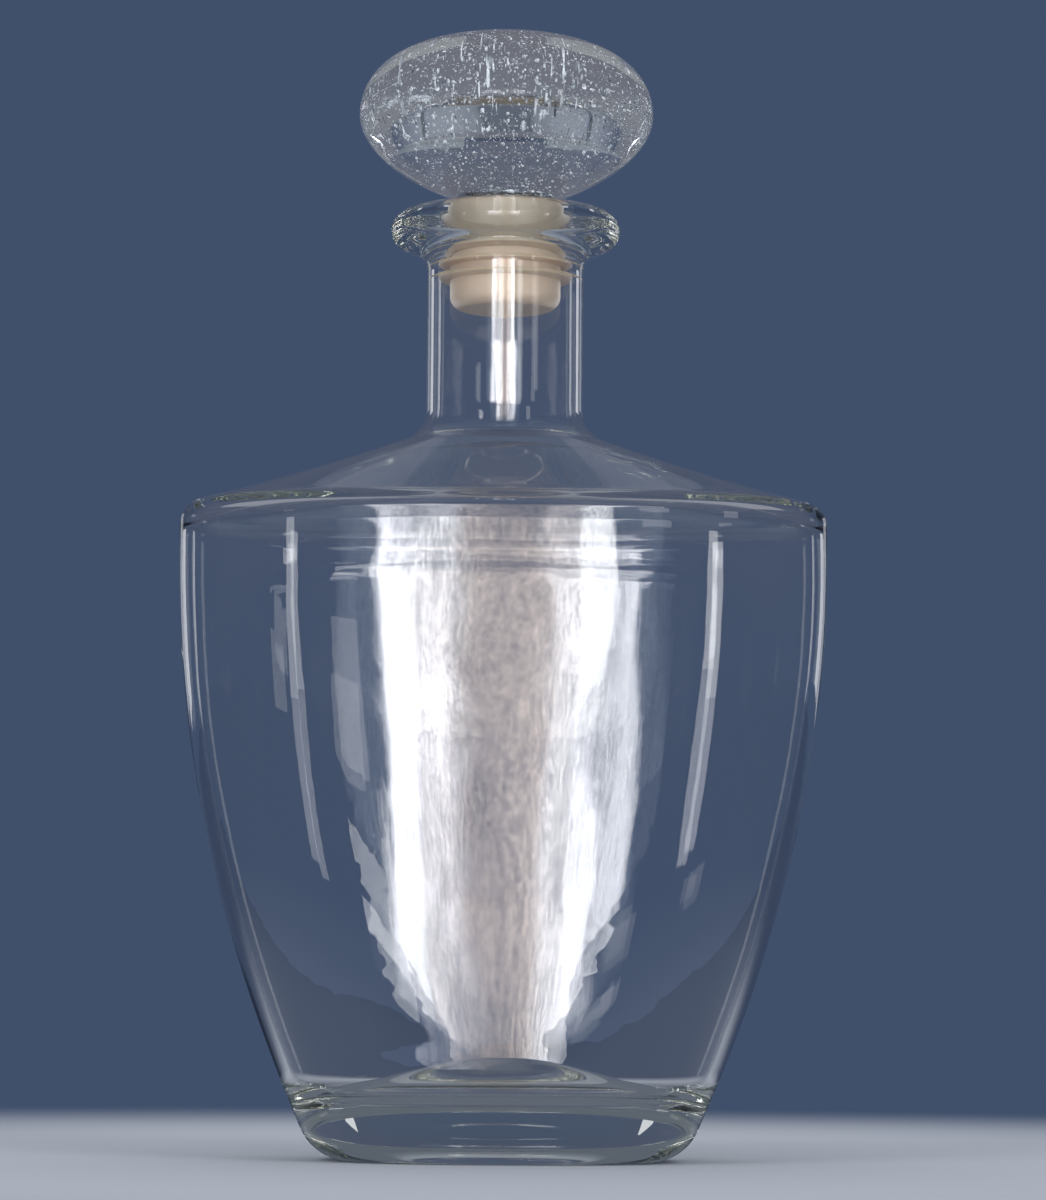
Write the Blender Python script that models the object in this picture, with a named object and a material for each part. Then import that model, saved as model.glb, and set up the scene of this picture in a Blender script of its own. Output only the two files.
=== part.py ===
"""A glass decanter: an oval body with broad shoulders, and a bubbled glass knob in a finned plug.

The frame stands on the table: origin under the middle of the foot, X across the broad face,
Y through the flat of the body, Z up. The front is -Y. Lengths are in metres.
"""

import math

import bmesh
import bpy

# Body, outside
BODY_WIDTH = 0.1490
BODY_DEPTH = 0.0760
FOOT_WIDTH = 0.0836
FOOT_DEPTH = 0.0577
FOOT_CORNER_RADIUS = 0.0120
SHOULDER_HEIGHT = 0.1488
WIDEST_DROP = 0.0103
SHOULDER_CORNER_RADIUS = 0.0048
SHOULDER_SLOPE = math.radians(14.5)
SHOULDER_TOP_SLOPE = math.radians(20.0)
BODY_SQUARENESS = 2.4

# Body, inside
WALL = 0.0030
INNER_SHOULDER_RADIUS = 0.0050
INNER_FOOT_RADIUS = 0.0100
HEEL_THICKNESS = 0.0130
FLOOR_THICKNESS = 0.0210

# Foot: a heavy base with a flat resting ring round a very shallow hollow
RESTING_RING = 0.0050
PUNT_HEIGHT = 0.0025
PUNT_EDGE = 0.0012
DOME_SHARES = (0.85, 0.65, 0.4, 0.15)

# Neck and lip
NECK_RADIUS = 0.0180
NECK_WALL = 0.0024
NECK_RISE = 0.0232
NECK_FILLET = 0.0080
NECK_LENGTH = 0.0459
LIP_OVERHANG = 0.0085
LIP_THICKNESS = 0.0084
LIP_UNDER_SLOPE = math.radians(20.0)
LIP_FILLET = 0.0049
MOUTH_ROUND = 0.0012

# Clearances between touching pieces
GAP = 0.0003
PEG_GAP = 0.0004

# Stopper plug: a sleeve with a closed end, three fins, a sealing band and a collar on the lip
FIN_REACH = 0.0025
FIN_THICKNESS = 0.0009
FIN_ROOT = 0.0016
FIN_DEPTH_SHARES = (0.32, 0.54, 0.68)
PLUG_DEPTH = 0.0227
PLUG_WALL = 0.0020
PLUG_END_ROUND = 0.0030
BAND_DEPTH = 0.0036
BAND_ROOT = 0.0008
COLLAR_OVERHANG = 0.0016
COLLAR_THICKNESS = 0.0009
COLLAR_ROUND = 0.0003

# Stopper knob, with its short stem and its peg
KNOB_RADIUS = 0.0341
KNOB_TOP_HALF = 0.0180
KNOB_LOWER_HALF = 0.0217
KNOB_TOP_SQUARENESS = 2.42
KNOB_LOWER_SQUARENESS = 1.65
STEM_HEIGHT = 0.0022
SEAT_STEP = 0.0011
PEG_FILLET = 0.0008
PEG_END_ROUND = 0.0015

# How finely the round shapes are cut
AROUND = 40
SIDE_STEPS = 7
CORNER_STEPS = 3
SLOPE_STEPS = 4
KNOB_STEPS = 7

# Worked out from the sizes above
HALF_WIDTH = BODY_WIDTH / 2
HALF_DEPTH = BODY_DEPTH / 2
WIDEST_HEIGHT = SHOULDER_HEIGHT - WIDEST_DROP
SIDE_RADIUS = WIDEST_HEIGHT ** 2 / (BODY_WIDTH - FOOT_WIDTH)
FACE_RADIUS = WIDEST_HEIGHT ** 2 / (BODY_DEPTH - FOOT_DEPTH)
FLOOR_DOME = PUNT_HEIGHT + FLOOR_THICKNESS - HEEL_THICKNESS
NECK_START = SHOULDER_HEIGHT + NECK_RISE
LIP_TOP = NECK_START + NECK_LENGTH
LIP_RADIUS = NECK_RADIUS + LIP_OVERHANG
BORE_RADIUS = NECK_RADIUS - NECK_WALL
FIN_RADIUS = BORE_RADIUS - GAP
PLUG_RADIUS = FIN_RADIUS - FIN_REACH
HOLLOW_RADIUS = PLUG_RADIUS - PLUG_WALL
PEG_RADIUS = HOLLOW_RADIUS - PEG_GAP
PLUG_END = LIP_TOP - PLUG_DEPTH
HOLLOW_END = PLUG_END + PLUG_WALL
PEG_END = HOLLOW_END + PEG_GAP
COLLAR_RADIUS = BORE_RADIUS + COLLAR_OVERHANG
COLLAR_BOTTOM = LIP_TOP + GAP
COLLAR_TOP = COLLAR_BOTTOM + COLLAR_THICKNESS
KNOB_SEAT = COLLAR_TOP + GAP
STEM_RADIUS = PEG_RADIUS + SEAT_STEP

GLASS_IOR = 1.52


def clear_scene():
    for old in list(bpy.data.objects):
        bpy.data.objects.remove(old, do_unlink=True)


def glass(name, tint, roughness):
    material = bpy.data.materials.new(name)
    material.use_nodes = True
    shader = material.node_tree.nodes["Principled BSDF"]
    shader.inputs["Base Color"].default_value = tint
    shader.inputs["Roughness"].default_value = roughness
    shader.inputs["IOR"].default_value = GLASS_IOR
    shader.inputs["Transmission Weight"].default_value = 1.0
    return material


def plastic(name, colour, roughness):
    material = bpy.data.materials.new(name)
    material.use_nodes = True
    shader = material.node_tree.nodes["Principled BSDF"]
    shader.inputs["Base Color"].default_value = colour
    shader.inputs["Roughness"].default_value = roughness
    return material


def add_object(name, bm, material):
    bmesh.ops.recalc_face_normals(bm, faces=bm.faces)
    mesh = bpy.data.meshes.new(name)
    bm.to_mesh(mesh)
    bm.free()
    mesh.shade_smooth()
    mesh.set_sharp_from_angle(angle=math.radians(40.0))
    mesh.materials.append(material)
    made = bpy.data.objects.new(name, mesh)
    bpy.context.collection.objects.link(made)
    return made


def arc(centre, radius, start, end, steps=CORNER_STEPS):
    """Points on a circle in the half-profile plane, from angle start to end, measured from +X."""
    points = []
    for step in range(steps + 1):
        angle = start + (end - start) * step / steps
        points.append((centre[0] + radius * math.cos(angle), centre[1] + radius * math.sin(angle)))
    return points


def hollow_slope(low, low_slope, high, high_slope):
    """Points between low and high on a curve that leaves and arrives at the given slopes."""
    reach = math.dist(low, high) / 3
    near_low = (low[0] - reach * math.cos(low_slope), low[1] + reach * math.sin(low_slope))
    near_high = (high[0] + reach * math.cos(high_slope), high[1] - reach * math.sin(high_slope))
    points = []
    for step in range(1, SLOPE_STEPS):
        t = step / SLOPE_STEPS
        weights = ((1 - t) ** 3, 3 * t * (1 - t) ** 2, 3 * t * t * (1 - t), t ** 3)
        corners = (low, near_low, near_high, high)
        across = sum(w * p[0] for w, p in zip(weights, corners))
        up = sum(w * p[1] for w, p in zip(weights, corners))
        points.append((across, up))
    return points


def drawn_in(height, radius):
    """How far a side of the body, an arc of the given radius, has come in at this height."""
    below = max(WIDEST_HEIGHT - height, 0.0)
    return below * below / (2 * radius)


def side_lean(height):
    """The angle of the side to the upright at this height."""
    return math.atan(max(WIDEST_HEIGHT - height, 0.0) / SIDE_RADIUS)


def body_profile(wall, corner_radius, foot_points):
    """Half widths and heights from the foot to the foot of the neck, a wall's thickness inside."""
    half_width = HALF_WIDTH - wall
    foot_end = foot_points[-1]
    corner_x = half_width - corner_radius
    drop = (corner_radius + wall) / math.cos(SHOULDER_SLOPE)
    rise = (corner_radius + wall) * math.tan(SHOULDER_SLOPE)
    corner_z = SHOULDER_HEIGHT + rise - drop
    side = []
    for step in range(1, SIDE_STEPS):
        height = foot_end[1] + (corner_z - foot_end[1]) * step / SIDE_STEPS
        side.append((half_width - drawn_in(height, SIDE_RADIUS), height))
    corner = arc((corner_x, corner_z), corner_radius, 0.0, math.pi / 2 - SHOULDER_SLOPE)
    fillet_x = NECK_RADIUS + NECK_FILLET
    fillet_radius = NECK_FILLET + (NECK_WALL if wall else 0.0)
    fillet = arc((fillet_x, NECK_START), fillet_radius, 1.5 * math.pi - SHOULDER_TOP_SLOPE, math.pi)
    slope = hollow_slope(corner[-1], SHOULDER_SLOPE, fillet[0], SHOULDER_TOP_SLOPE)
    return foot_points + side + corner + slope + fillet


def foot_corner(wall, radius, floor):
    """The rounded corner between a flat at the floor's height and the leaning side."""
    end_angle = -side_lean(floor)
    end_z = floor + radius + radius * math.sin(end_angle)
    end_x = HALF_WIDTH - wall - drawn_in(end_z, SIDE_RADIUS)
    centre = (end_x - radius * math.cos(end_angle), floor + radius)
    return arc(centre, radius, -math.pi / 2, end_angle)


def oval(half_width, height, neck_radius, wall):
    """One level of the body: its half width, half depth, height and squareness."""
    widest = HALF_WIDTH - wall
    deepest = HALF_DEPTH - wall
    if height <= WIDEST_HEIGHT:
        narrowing = half_width / (widest - drawn_in(height, SIDE_RADIUS))
        half_depth = (deepest - drawn_in(height, FACE_RADIUS)) * narrowing
        return (half_width, half_depth, height, BODY_SQUARENESS)
    share = (half_width - neck_radius) / (widest - neck_radius)
    half_depth = neck_radius + (deepest - neck_radius) * share
    squareness = 2 + (BODY_SQUARENESS - 2) * share
    return (half_width, half_depth, height, squareness)


def corner_kept(half_width, height, wall):
    """A level near the foot, whose corner keeps the same inset all the way round."""
    inset = HALF_WIDTH - wall - drawn_in(height, SIDE_RADIUS) - half_width
    half_depth = HALF_DEPTH - wall - drawn_in(height, FACE_RADIUS) - inset
    return (half_width, half_depth, height, BODY_SQUARENESS)


def drawn_inwards(level, inset, height):
    """The same oval at another height, with its edge set in evenly all round."""
    return (level[0] - inset, level[1] - inset, height, level[3])


def dome(edge, top):
    """Levels from inside an edge to near the middle, which rises to the top."""
    levels = []
    for share in DOME_SHARES:
        height = edge[2] + (top - edge[2]) * (1 - share * share)
        levels.append((edge[0] * share, edge[1] * share, height, edge[3]))
    return levels


def body_levels():
    """Every level of the glass, from the middle of the punt, round the lip, to the middle of the floor."""
    outer_foot = foot_corner(0.0, FOOT_CORNER_RADIUS, 0.0)
    outer = body_profile(0.0, SHOULDER_CORNER_RADIUS, outer_foot)
    inner_foot = foot_corner(WALL, INNER_FOOT_RADIUS, HEEL_THICKNESS)
    inner = body_profile(WALL, INNER_SHOULDER_RADIUS, inner_foot)

    foot_count = len(outer_foot)
    outer_levels = [corner_kept(x, z, 0.0) for x, z in outer[:foot_count]]
    outer_levels += [oval(x, z, NECK_RADIUS, 0.0) for x, z in outer[foot_count:]]
    inner_levels = [corner_kept(x, z, WALL) for x, z in inner[:foot_count]]
    inner_levels += [oval(x, z, BORE_RADIUS, WALL) for x, z in inner[foot_count:]]

    ring_inner = drawn_inwards(outer_levels[0], RESTING_RING, 0.0)
    punt_edge = drawn_inwards(ring_inner, PUNT_EDGE, PUNT_EDGE / 2)
    punt = dome(punt_edge, PUNT_HEIGHT)
    floor = dome(inner_levels[0], HEEL_THICKNESS + FLOOR_DOME)

    return punt[::-1] + [punt_edge, ring_inner] + outer_levels + lip_levels() + inner_levels[::-1] + floor


def lip_levels():
    """The disc lip: a fillet, its sloping underside, its rounded rim, its flat top and the rounded mouth."""
    half = LIP_THICKNESS / 2
    rim_x = LIP_RADIUS - half
    rim_z = LIP_TOP - half
    upright = math.pi / 2 - LIP_UNDER_SLOPE
    under_x = rim_x + half * math.sin(LIP_UNDER_SLOPE)
    under_z = rim_z - half * math.cos(LIP_UNDER_SLOPE)
    meeting_z = under_z - (under_x - NECK_RADIUS) * math.tan(LIP_UNDER_SLOPE)
    fillet_z = meeting_z - LIP_FILLET * math.tan(upright / 2)
    points = arc((NECK_RADIUS + LIP_FILLET, fillet_z), LIP_FILLET, math.pi, math.pi - upright)
    points += arc((rim_x, rim_z), half, -upright, math.pi / 2, 2 * CORNER_STEPS)
    points += arc((BORE_RADIUS + MOUTH_ROUND, LIP_TOP - MOUTH_ROUND), MOUTH_ROUND, math.pi / 2, math.pi)
    return [(radius, radius, height, 2) for radius, height in points]


def signed_power(value, exponent):
    return math.copysign(abs(value) ** exponent, value)


def pressed_oval(levels):
    """A closed skin through the levels: turned round first, then pressed to each level's oval."""
    bm = bmesh.new()
    numbers = bm.verts.layers.int.new("level")
    verts = []
    for number, level in enumerate(levels):
        vert = bm.verts.new((level[0], 0.0, level[2]))
        vert[numbers] = number
        verts.append(vert)
    edges = [bm.edges.new(pair) for pair in zip(verts, verts[1:])]
    spin_round(bm, verts + edges)
    for vert in bm.verts:
        half_width, half_depth, height, squareness = levels[vert[numbers]]
        angle = math.atan2(vert.co.y, vert.co.x)
        vert.co.x = half_width * signed_power(math.cos(angle), 2 / squareness)
        vert.co.y = half_depth * signed_power(math.sin(angle), 2 / squareness)
    bmesh.ops.holes_fill(bm, edges=bm.edges, sides=AROUND)
    return bm


def spin_round(bm, geometry):
    bmesh.ops.spin(
        bm,
        geom=geometry,
        cent=(0.0, 0.0, 0.0),
        axis=(0.0, 0.0, 1.0),
        angle=2 * math.pi,
        steps=AROUND,
        use_merge=True,
    )


def turned(points):
    """A solid of revolution about Z from half-profile points that start and end on the axis."""
    bm = bmesh.new()
    verts = [bm.verts.new((x, 0.0, z)) for x, z in points]
    edges = [bm.edges.new(pair) for pair in zip(verts, verts[1:])]
    spin_round(bm, verts + edges)
    bmesh.ops.remove_doubles(bm, verts=bm.verts, dist=GAP / 10)
    return bm


def make_body(material):
    return add_object("decanter_body", pressed_oval(body_levels()), material)


def knob_point(angle, half_height, squareness, middle):
    """A point of the knob's outline: angle 0 at its round rim, a quarter turn at its pole."""
    eased = 2 + (squareness - 2) * math.sqrt(abs(math.sin(angle)))
    across = KNOB_RADIUS * signed_power(math.cos(angle), 2 / eased)
    up = half_height * signed_power(math.sin(angle), 2 / eased)
    return (across, middle + up)


def stem_angle():
    """Where round the lower half the knob is as narrow as its stem, found by halving."""
    low, high = 0.0, math.pi / 2
    for step in range(30):
        angle = (low + high) / 2
        if knob_point(angle, KNOB_LOWER_HALF, KNOB_LOWER_SQUARENESS, 0.0)[0] > STEM_RADIUS:
            low = angle
        else:
            high = angle
    return low


def make_head(material):
    lowest = stem_angle()
    middle = KNOB_SEAT + STEM_HEIGHT + knob_point(lowest, KNOB_LOWER_HALF, KNOB_LOWER_SQUARENESS, 0.0)[1]
    points = [(0.0, PEG_END)]
    points += arc((PEG_RADIUS - PEG_END_ROUND, PEG_END + PEG_END_ROUND), PEG_END_ROUND, -math.pi / 2, 0.0)
    points += arc((PEG_RADIUS + PEG_FILLET, KNOB_SEAT - PEG_FILLET), PEG_FILLET, math.pi, math.pi / 2, 2)
    points.append((STEM_RADIUS, KNOB_SEAT))
    for step in range(KNOB_STEPS):
        angle = -lowest * (1 - step / KNOB_STEPS)
        points.append(knob_point(angle, KNOB_LOWER_HALF, KNOB_LOWER_SQUARENESS, middle))
    for step in range(KNOB_STEPS):
        angle = math.pi / 2 * step / KNOB_STEPS
        points.append(knob_point(angle, KNOB_TOP_HALF, KNOB_TOP_SQUARENESS, middle))
    points.append((0.0, middle + KNOB_TOP_HALF))
    return add_object("stopper_head", turned(points), material)


def fin(height):
    """One sealing fin round the plug: a thin blade, thicker at its root, in the middle of this height."""
    return [
        (PLUG_RADIUS, height - FIN_ROOT / 2),
        (FIN_RADIUS, height - FIN_THICKNESS / 2),
        (FIN_RADIUS, height + FIN_THICKNESS / 2),
        (PLUG_RADIUS, height + FIN_ROOT / 2),
    ]


def make_plug(material):
    rim = COLLAR_RADIUS - COLLAR_ROUND
    end_centre = (PLUG_RADIUS - PLUG_END_ROUND, PLUG_END + PLUG_END_ROUND)
    points = [(0.0, PLUG_END)]
    points += arc(end_centre, PLUG_END_ROUND, -math.pi / 2, 0.0)
    for share in sorted(FIN_DEPTH_SHARES, reverse=True):
        points += fin(LIP_TOP - PLUG_DEPTH * share)
    points += [(PLUG_RADIUS, LIP_TOP - BAND_DEPTH - BAND_ROOT), (FIN_RADIUS, LIP_TOP - BAND_DEPTH)]
    points += [(FIN_RADIUS, COLLAR_BOTTOM)]
    points += arc((rim, COLLAR_BOTTOM + COLLAR_ROUND), COLLAR_ROUND, -math.pi / 2, 0.0, 2)
    points += arc((rim, COLLAR_TOP - COLLAR_ROUND), COLLAR_ROUND, 0.0, math.pi / 2, 2)
    points += [(HOLLOW_RADIUS + PEG_FILLET, COLLAR_TOP), (HOLLOW_RADIUS, COLLAR_TOP - PEG_FILLET)]
    points += [(HOLLOW_RADIUS, HOLLOW_END), (0.0, HOLLOW_END)]
    return add_object("stopper_plug", turned(points), material)


def main():
    clear_scene()
    make_body(glass("clear_soda_lime_glass", (0.93, 0.97, 0.95, 1.0), 0.02))
    make_head(glass("bubbled_soda_lime_glass", (0.93, 0.96, 0.97, 1.0), 0.03))
    make_plug(plastic("ivory_polyethylene", (0.62, 0.53, 0.42, 1.0), 0.35))


main()
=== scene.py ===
import math
import random

import bmesh
import bpy
from mathutils import Matrix, Vector, noise


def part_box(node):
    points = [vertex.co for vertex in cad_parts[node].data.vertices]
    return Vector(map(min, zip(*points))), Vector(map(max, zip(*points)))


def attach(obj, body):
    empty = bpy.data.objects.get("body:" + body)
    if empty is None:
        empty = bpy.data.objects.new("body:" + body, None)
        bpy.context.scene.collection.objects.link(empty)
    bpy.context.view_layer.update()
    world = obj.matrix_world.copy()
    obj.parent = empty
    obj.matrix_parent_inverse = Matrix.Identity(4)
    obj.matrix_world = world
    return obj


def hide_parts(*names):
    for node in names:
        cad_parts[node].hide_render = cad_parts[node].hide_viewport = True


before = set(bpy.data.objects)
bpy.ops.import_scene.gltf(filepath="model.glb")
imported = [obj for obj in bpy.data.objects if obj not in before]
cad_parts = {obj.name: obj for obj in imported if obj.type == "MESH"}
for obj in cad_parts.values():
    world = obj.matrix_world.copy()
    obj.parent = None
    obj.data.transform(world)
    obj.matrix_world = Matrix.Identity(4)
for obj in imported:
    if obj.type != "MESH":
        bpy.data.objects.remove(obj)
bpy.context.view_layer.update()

# A glass decanter: an oval body of clear glass, and a knob of bubbled glass in an ivory sleeve.
# The origin is under the middle of the foot, X runs across the broad face and the front is -Y.
# Lengths are metres. Bearings and elevations of the lamps are degrees.

BODY_LOW, BODY_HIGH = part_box("decanter_body")
PLUG_LOW, PLUG_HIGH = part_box("stopper_plug")
HEAD_LOW, HEAD_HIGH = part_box("stopper_head")

# Body, outside
HALF_WIDTH = (BODY_HIGH.x - BODY_LOW.x) / 2
HALF_DEPTH = (BODY_HIGH.y - BODY_LOW.y) / 2
FOOT_WIDTH = 0.0836
FOOT_DEPTH = 0.0577
FOOT_CORNER_RADIUS = 0.0120
SHOULDER_HEIGHT = 0.1488
WIDEST_HEIGHT = 0.1385
SHOULDER_CORNER_RADIUS = 0.0048
SHOULDER_SLOPE = math.radians(14.5)
SHOULDER_TOP_SLOPE = math.radians(20.0)
BODY_SQUARENESS = 2.4
SIDE_RADIUS = WIDEST_HEIGHT ** 2 / (2 * HALF_WIDTH - FOOT_WIDTH)
FACE_RADIUS = WIDEST_HEIGHT ** 2 / (2 * HALF_DEPTH - FOOT_DEPTH)

# Body, inside
WALL = 0.0030
INNER_SHOULDER_RADIUS = 0.0050
INNER_FOOT_RADIUS = 0.0100
HEEL_THICKNESS = 0.0130
FLOOR_DOME = 0.0105

# Foot: a flat resting ring round a shallow dome pressed up from below
RESTING_RING = 0.0050
PUNT_HEIGHT = 0.0025
PUNT_EDGE = 0.0012

# Neck and lip
LIP_TOP = BODY_HIGH.z
NECK_RADIUS = 0.0180
NECK_WALL = 0.0024
NECK_START = 0.1720
NECK_FILLET = 0.0080
LIP_RADIUS = 0.0265
LIP_THICKNESS = 0.0084
LIP_UNDER_SLOPE = math.radians(20.0)
LIP_FILLET = 0.0049
MOUTH_ROUND = 0.0012
BORE_RADIUS = NECK_RADIUS - NECK_WALL

# Sleeve
GAP = 0.0003
FIN_RADIUS = BORE_RADIUS - GAP
TOUCH_RADIUS = BORE_RADIUS + 0.00005
FIN_REACH = 0.0025
FIN_THICKNESS = 0.0009
FIN_ROOT = 0.0016
FIN_DEPTH_SHARES = (0.32, 0.54, 0.68)
PLUG_RADIUS = FIN_RADIUS - FIN_REACH
PLUG_WALL = 0.0020
PLUG_END = PLUG_LOW.z
PLUG_DEPTH = LIP_TOP - PLUG_END
PLUG_END_ROUND = 0.0030
BAND_DEPTH = 0.0036
BAND_ROOT = 0.0008
BAND_RADIUS = PLUG_RADIUS + 0.0004
COLLAR_RADIUS = PLUG_HIGH.x
COLLAR_BOTTOM = LIP_TOP + GAP
COLLAR_TOP = PLUG_HIGH.z
COLLAR_ROUND = 0.0003
HOLLOW_RADIUS = PLUG_RADIUS - PLUG_WALL
HOLLOW_END = PLUG_END + PLUG_WALL

# Painted shade: the sleeve's colour greys from the first of these depths below the lip's top to the
# second, and stays grey above, for the shade in the lip's mouth
PAINTED_SHADE_STARTS = 0.0110
PAINTED_SHADE_ENDS = 0.0030

# Knob, with its peg
KNOB_RADIUS = HEAD_HIGH.x
KNOB_TOP = HEAD_HIGH.z
KNOB_TOP_HALF = 0.0180
KNOB_LOWER_HALF = 0.0217
KNOB_TOP_SQUARENESS = 2.42
KNOB_LOWER_SQUARENESS = 1.65
KNOB_MIDDLE = KNOB_TOP - KNOB_TOP_HALF
KNOB_SEAT = COLLAR_TOP + GAP
PEG_RADIUS = HOLLOW_RADIUS - 0.0004
PEG_END = HEAD_LOW.z
KNOB_SEAT_RADIUS = PEG_RADIUS + 0.0011
PEG_FILLET = 0.0008
PEG_END_ROUND = 0.0015

# Seed bubbles in the knob. A cloud of them has its count, the height of its middle, its spread in
# height, its reach from the axis, and the radii of its smallest and largest bubble.
CLOUDS = (
    (1300, KNOB_MIDDLE + 0.0085, 0.0032, 0.0290, 0.00007, 0.00024),
    (800, KNOB_MIDDLE - 0.0010, 0.0070, 0.0300, 0.00007, 0.00025),
    (40, KNOB_MIDDLE + 0.0040, 0.0060, 0.0250, 0.00022, 0.00034),
    (240, KNOB_SEAT + 0.0050, 0.0022, 0.0090, 0.00014, 0.00042),
)
FINEST_CLOUDS = ((3000, KNOB_MIDDLE + 0.0010, 0.0090, 0.0310, 0.00008, 0.00014),)
BUBBLED_SHARE = 0.9
BUBBLE_STRETCH = (0.8, 1.25)
BUBBLE_SEED = 11
HANDFUL = 25

# How finely the round shapes are cut
AROUND = 168
SIDE_STEPS = 56
CORNER_STEPS = 12
SLOPE_STEPS = 20
DOME_STEPS = 16
KNOB_STEPS = 40
SEAT_HALVINGS = 40
SLEEVE_AROUND = 120
FIN_EDGE_STEPS = 8
COLLAR_STEPS = 6
WELD_DISTANCE = GAP / 30
SHARP_ANGLE = math.radians(50.0)

# Blown glass is smooth outside, where the mould shaped it, and wavy inside
INNER_WAVE_HEIGHT = 0.00022
INNER_WAVE_LENGTH = 0.034
OUTER_WAVE_HEIGHT = 0.00008
OUTER_WAVE_LENGTH = 0.045
WAVE_START = Vector((3.1, 7.7, 1.3))

GLASS_IOR = 1.52


def linear(hex_code):
    """The linear colour of an sRGB hex value."""
    parts = [int(hex_code[at:at + 2], 16) / 255 for at in (1, 3, 5)]
    return tuple(p / 12.92 if p <= 0.04045 else ((p + 0.055) / 1.055) ** 2.4 for p in parts) + (1.0,)


def add_node(tree, kind, values=None, links=None, **settings):
    """Adds a node with its settings, the values of its sockets, and links from other nodes' outputs."""
    node = tree.nodes.new(kind)
    for name, setting in settings.items():
        setattr(node, name, setting)
    for socket, value in (values or {}).items():
        node.inputs[socket].default_value = value
    for socket, source in (links or {}).items():
        tree.links.new(source, node.inputs[socket])
    return node


def new_material(name):
    material = bpy.data.materials.new(name)
    material.use_nodes = True
    tree = material.node_tree
    return material, tree, tree.nodes["Principled BSDF"], tree.nodes["Material Output"]


def set_values(node, values):
    for socket, value in values.items():
        node.inputs[socket].default_value = value


def clear_glass(name, tint, density, ripple_scale, ripple_height):
    """Soda-lime glass with a fire-polished skin.

    It has no grain, only a faint ripple, and its tint shows where the glass is deep.
    """
    material, tree, shader, output = new_material(name)
    set_values(shader, {
        "Base Color": linear("#ffffff"),
        "Roughness": 0.0,
        "IOR": GLASS_IOR,
        "Transmission Weight": 1.0,
    })
    place = add_node(tree, "ShaderNodeTexCoord")
    ripple = add_node(
        tree,
        "ShaderNodeTexNoise",
        {"Scale": ripple_scale, "Detail": 2.0, "Roughness": 0.45},
        {"Vector": place.outputs["Object"]},
    )
    bump = add_node(
        tree,
        "ShaderNodeBump",
        {"Strength": 1.0, "Distance": ripple_height},
        {"Height": ripple.outputs["Fac"]},
    )
    tree.links.new(bump.outputs["Normal"], shader.inputs["Normal"])
    depth = add_node(tree, "ShaderNodeVolumeAbsorption", {"Color": linear(tint), "Density": density})
    tree.links.new(depth.outputs["Volume"], output.inputs["Volume"])
    return material


def bubble_skin():
    """Air trapped in glass turns light right round, so each seed bubble flashes like a silver bead.

    Some bubbles are greyer than others, as they catch less of the light.
    """
    material, tree, shader, output = new_material("seed_bubble_skin")
    set_values(shader, {"Roughness": 0.30})
    place = add_node(tree, "ShaderNodeTexCoord")
    grey = add_node(
        tree,
        "ShaderNodeTexNoise",
        {"Scale": 900.0, "Detail": 0.0},
        {"Vector": place.outputs["Object"]},
    )
    ramp = add_node(tree, "ShaderNodeValToRGB", links={"Fac": grey.outputs["Fac"]})
    ramp.color_ramp.elements[0].position = 0.35
    ramp.color_ramp.elements[0].color = linear("#6f757c")
    ramp.color_ramp.elements[1].position = 0.7
    ramp.color_ramp.elements[1].color = linear("#ffffff")
    tree.links.new(ramp.outputs["Color"], shader.inputs["Base Color"])
    return material


def ivory_polyethylene():
    """Moulded low-density polyethylene: waxy, softly glossy, and a little light passes into it.

    Its grain is a mould's, about half a millimetre. The end under the collar, and the collar, are greyed
    by painted shade that stands in for the shade in the lip's mouth.
    """
    material, tree, shader, output = new_material("ivory_moulded_polyethylene")
    set_values(shader, {
        "Roughness": 0.34,
        "IOR": 1.51,
        "Subsurface Weight": 0.25,
        "Subsurface Radius": (0.0030, 0.0022, 0.0015),
        "Subsurface Scale": 1.0,
    })
    place = add_node(tree, "ShaderNodeTexCoord")
    cloud = add_node(
        tree,
        "ShaderNodeTexNoise",
        {"Scale": 160.0, "Detail": 3.0},
        {"Vector": place.outputs["Object"]},
    )
    ramp = add_node(tree, "ShaderNodeValToRGB", links={"Fac": cloud.outputs["Fac"]})
    ramp.color_ramp.elements[0].color = linear("#cbb9a5")
    ramp.color_ramp.elements[1].color = linear("#dccbb8")
    axes = add_node(tree, "ShaderNodeSeparateXYZ", links={0: place.outputs["Object"]})
    # Painted shade: greyer towards the lip's top and over the collar, where the sleeve lies in the lip's
    # shade
    lip_shade_share = add_node(
        tree,
        "ShaderNodeMapRange",
        {"From Min": LIP_TOP - PAINTED_SHADE_STARTS, "From Max": LIP_TOP - PAINTED_SHADE_ENDS},
        {"Value": axes.outputs["Z"]},
    )
    lip_shaded_colour = add_node(
        tree,
        "ShaderNodeMix",
        {"B": linear("#b5ad9e")},
        {"Factor": lip_shade_share.outputs["Result"], "A": ramp.outputs["Color"]},
        data_type="RGBA",
    )
    tree.links.new(lip_shaded_colour.outputs["Result"], shader.inputs["Base Color"])
    grain = add_node(
        tree,
        "ShaderNodeTexNoise",
        {"Scale": 2200.0, "Detail": 2.0},
        {"Vector": place.outputs["Object"]},
    )
    bump = add_node(
        tree,
        "ShaderNodeBump",
        {"Strength": 0.4, "Distance": 0.00003},
        {"Height": grain.outputs["Fac"]},
    )
    tree.links.new(bump.outputs["Normal"], shader.inputs["Normal"])
    return material


def add_piece(name, bm, material, body):
    """Makes a finished mesh an object at the origin, and lets it ride on a body of the frame."""
    mesh = bpy.data.meshes.new(name)
    bm.to_mesh(mesh)
    bm.free()
    mesh.shade_smooth()
    mesh.set_sharp_from_angle(angle=SHARP_ANGLE)
    mesh.materials.append(material)
    piece = bpy.data.objects.new(name, mesh)
    bpy.context.scene.collection.objects.link(piece)
    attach(piece, body)
    return piece


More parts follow.
